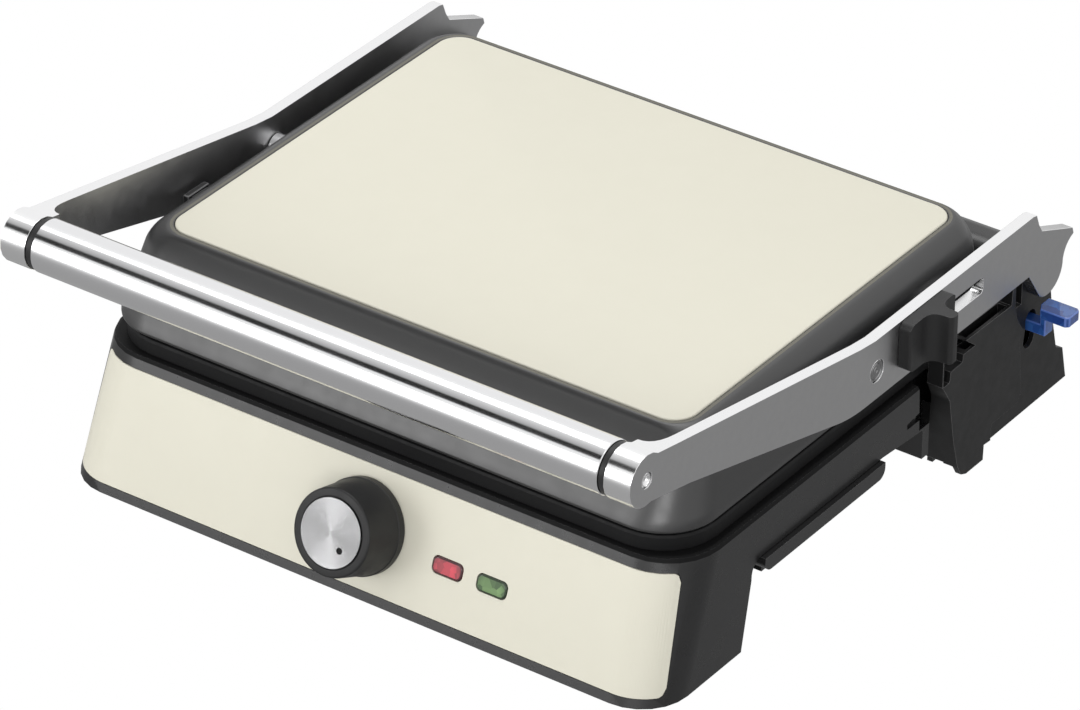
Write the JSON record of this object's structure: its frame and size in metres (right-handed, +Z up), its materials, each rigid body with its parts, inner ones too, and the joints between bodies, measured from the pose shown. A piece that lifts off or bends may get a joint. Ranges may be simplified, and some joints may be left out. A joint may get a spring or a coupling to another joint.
{
  "type": "contact grill",
  "caption": "Contact grill with a flat painted lid on two side arms, a front handle bar, a round control knob, indicator windows, a drip tray and a lid that opens flat.",
  "frame": {"origin": "on the table, under the middle of the bounding box", "axes": "+Z up, +Y to the back where the hinge is, +X to the right of a user in front of the handle"},
  "size_m": [0.3674, 0.3768, 0.1538],
  "materials": {
    "dark": "moulded, satin",
    "cream": "smooth satin paint",
    "cast": "brushed, satin",
    "chrome": "polished",
    "coating": "non-stick coating, satin",
    "steel": "satin",
    "sheet": "rolled sheet",
    "rubber": "matt",
    "red": "clear tinted",
    "green": "clear tinted",
    "blue": "clear tinted",
    "board": "lacquered board",
    "ceramic": "unglazed ceramic"
  },
  "bodies": {
    "base": {"lower_housing": "dark", "front_panel": "cream", "bottom_cover": "dark", "lower_plate": "coating", "lower_element": "steel", "lower_reflector": "sheet", "thermostat": "ceramic", "red_lens": "red", "green_lens": "green", "indicator_board": "board", "hinge_bracket_right": "dark", "hinge_bracket_left": "dark", "hinge_cover": "dark", "foot_front_left": "rubber", "foot_front_right": "rubber", "foot_rear_left": "rubber", "foot_rear_right": "rubber", "cord_inlet": "rubber", "terminal_block": "ceramic", "base_screw_1": "steel", "base_screw_2": "steel", "base_screw_3": "steel", "base_screw_4": "steel", "lever_pin": "steel", "lever_spring": "steel"},
    "control": {"knob": "dark", "knob_face": "steel", "knob_shaft": "steel"},
    "hinge_pins": {"hinge_pin_left": "steel", "hinge_pin_right": "steel"},
    "arms": {"arm_left": "cast", "arm_right": "cast", "handle_tube": "chrome", "handle_plug_left": "dark", "handle_plug_right": "dark", "handle_screw_left": "steel", "handle_screw_right": "steel", "tilt_screw_left": "steel", "tilt_screw_right": "steel"},
    "upper": {"upper_housing": "dark", "lid_insert": "cream", "upper_plate": "coating", "upper_element": "steel", "upper_reflector": "sheet", "tilt_bush_left": "chrome", "tilt_bush_right": "chrome"},
    "slider": {"height_slider": "dark", "slider_clip": "chrome"},
    "lever": {"release_lever": "blue"},
    "tray": {"drip_tray": "dark"},
    "upper_button": {"upper_plate_release": "dark"},
    "lower_button": {"lower_plate_release": "dark"}
  },
  "joints": [
    {"name": "control_turn", "type": "hinge", "parent": "base", "child": "control", "pos_m": [-0.00935, -0.14738, 0.0343], "axis": [0, -0.9374, 0.3484], "range_deg": [0, 270]},
    {"name": "lid_open", "type": "hinge", "parent": "base", "child": "hinge_pins", "pos_m": [-0.00935, 0.1565, 0.0819], "axis": [-1, 0, 0], "range_deg": [0, 172]},
    {"name": "lid_float", "type": "hinge", "parent": "hinge_pins", "child": "arms", "pos_m": [-0.00935, 0.1565, 0.0819], "axis": [-1, 0, 0], "range_deg": [0, 8]},
    {"name": "plate_level", "type": "hinge", "parent": "arms", "child": "upper", "pos_m": [-0.00935, 0.0076, 0.1028], "axis": [-1, 0, 0], "range_deg": [-8, 0]},
    {"name": "height_slide", "type": "slide", "parent": "arms", "child": "slider", "axis": [0, 1, 0], "range_m": [0, 0.022]},
    {"name": "lever_press", "type": "hinge", "parent": "base", "child": "lever", "pos_m": [0.15065, 0.1154, 0.054], "axis": [-1, 0, 0], "range_deg": [0, 12], "stiffness_Nm_per_rad": 0.05, "springref_deg": -20.05},
    {"name": "tray_slide", "type": "slide", "parent": "base", "child": "tray", "axis": [1, 0, 0], "range_m": [0, 0.25]},
    {"name": "upper_button_press", "type": "slide", "parent": "upper", "child": "upper_button", "axis": [1, 0, 0], "range_m": [0, 0.002], "stiffness_N_per_m": 400, "springref_m": -0.002},
    {"name": "lower_button_press", "type": "slide", "parent": "base", "child": "lower_button", "axis": [1, 0, 0], "range_m": [0, 0.002], "stiffness_N_per_m": 400, "springref_m": -0.002}
  ],
  "couplings": [
    {"joint": "plate_level", "follows": "lid_float", "ratio": -1}
  ]
}
